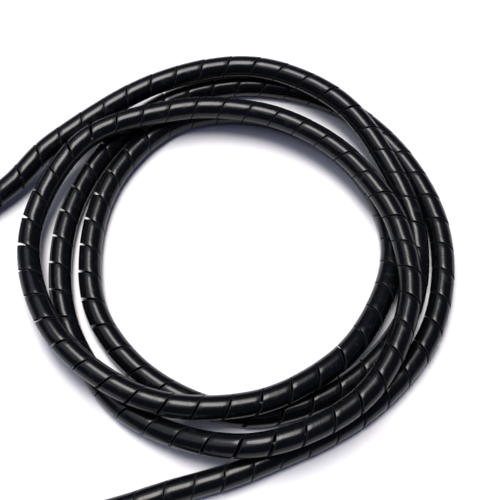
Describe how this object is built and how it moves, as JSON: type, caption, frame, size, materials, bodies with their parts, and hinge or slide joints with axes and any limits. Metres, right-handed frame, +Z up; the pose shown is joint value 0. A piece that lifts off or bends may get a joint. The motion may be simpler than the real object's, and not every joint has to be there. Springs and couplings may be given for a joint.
{
  "type": "spiral cable wrap",
  "caption": "Helically slit plastic tube that wraps round a bundle of cables, lying in a loose flat coil with both cut ends free.",
  "frame": {"origin": "on the floor, below the middle of the coil's bounding box", "axes": "+Z up, the coil flat on the XY plane; +X towards the coil's far side from the first free end, along its longest extent; the picture looks along +Y from above"},
  "size_m": [0.2464, 0.219, 0.0207],
  "materials": {
    "wrap": "black extruded polyethylene, semi-gloss"
  },
  "bodies": {
    "root": {"spiral_wrap": "wrap"}
  },
  "joints": []
}
